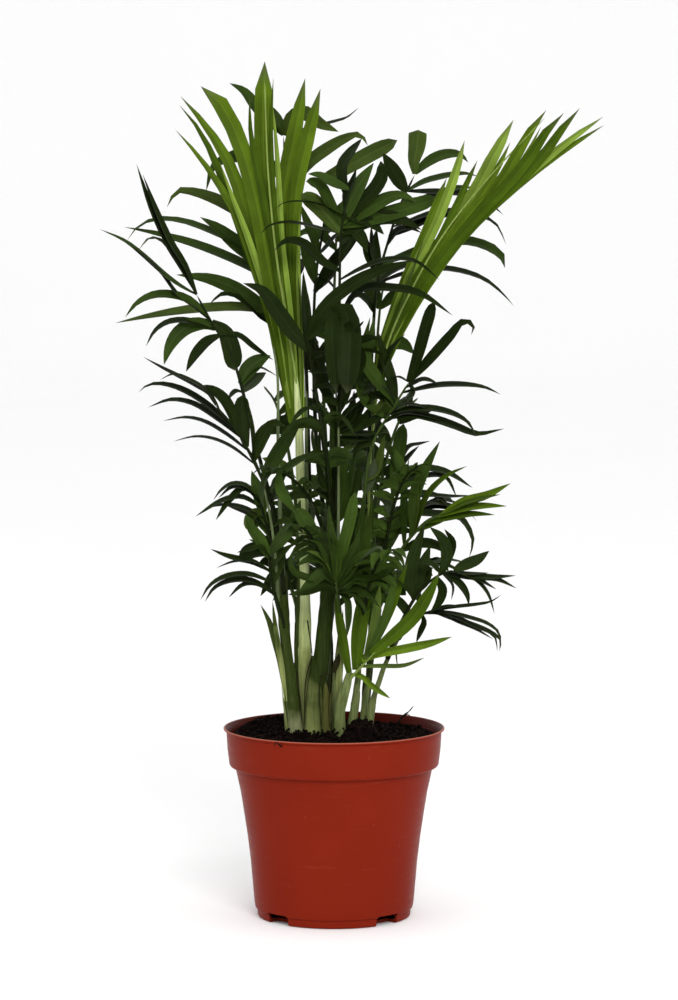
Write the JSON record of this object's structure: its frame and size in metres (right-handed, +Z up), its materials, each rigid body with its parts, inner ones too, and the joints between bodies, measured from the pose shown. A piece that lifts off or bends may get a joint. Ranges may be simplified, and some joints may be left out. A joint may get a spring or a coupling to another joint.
{
  "type": "parlour palm in a nursery pot",
  "caption": "Young clump-forming parlour palm, with feather-shaped fronds on slender sheathed stems, in its round plastic nursery pot with a deep rim band.",
  "frame": {"origin": "centre of the pot's flat underside", "axes": "+Z up; the front is -Y, and the tall bright spear that leans out points to +X"},
  "size_m": [0.2687, 0.2126, 0.4606],
  "materials": {
    "pot": "satin",
    "compost": "matte",
    "stems": "satin",
    "dry_sheath": "matte",
    "old_leaves": "satin",
    "young_leaves": "satin"
  },
  "bodies": {
    "root": {"pot": "pot", "compost": "compost", "stem_back": "stems", "stem_back_left": "stems", "stem_back_right": "stems", "stem_bright": "stems", "stem_centre": "stems", "stem_dry_stub": "dry_sheath", "stem_left": "stems", "stem_low": "stems", "stem_right": "stems", "stem_right_outer": "stems", "stem_spear": "stems", "stem_thin": "stems", "frond_back_high": "old_leaves", "frond_back_high_left": "old_leaves", "frond_back_high_right": "old_leaves", "frond_back_low": "old_leaves", "frond_back_low_left": "old_leaves", "frond_back_low_right": "old_leaves", "frond_back_lowest": "old_leaves", "frond_back_middle": "old_leaves", "frond_back_middle_left": "old_leaves", "frond_back_middle_right": "old_leaves", "frond_broad": "old_leaves", "frond_crown_left": "old_leaves", "frond_crown_middle": "old_leaves", "frond_front_high": "old_leaves", "frond_front_left": "old_leaves", "frond_front_low": "old_leaves", "frond_front_middle": "old_leaves", "frond_front_middle_left": "old_leaves", "frond_front_middle_right": "old_leaves", "frond_front_right": "old_leaves", "frond_left_arch": "old_leaves", "frond_left_low": "old_leaves", "frond_left_middle": "old_leaves", "frond_left_small": "old_leaves", "frond_low_bright": "young_leaves", "frond_right_bright": "young_leaves", "frond_right_dark": "old_leaves", "frond_right_fan": "old_leaves", "frond_right_lowest": "old_leaves", "frond_right_middle": "old_leaves", "frond_side_left": "old_leaves", "frond_side_right": "old_leaves", "frond_spear_left": "young_leaves", "frond_spear_right": "young_leaves", "frond_tall_left": "old_leaves", "frond_tall_right": "old_leaves"}
  },
  "joints": []
}
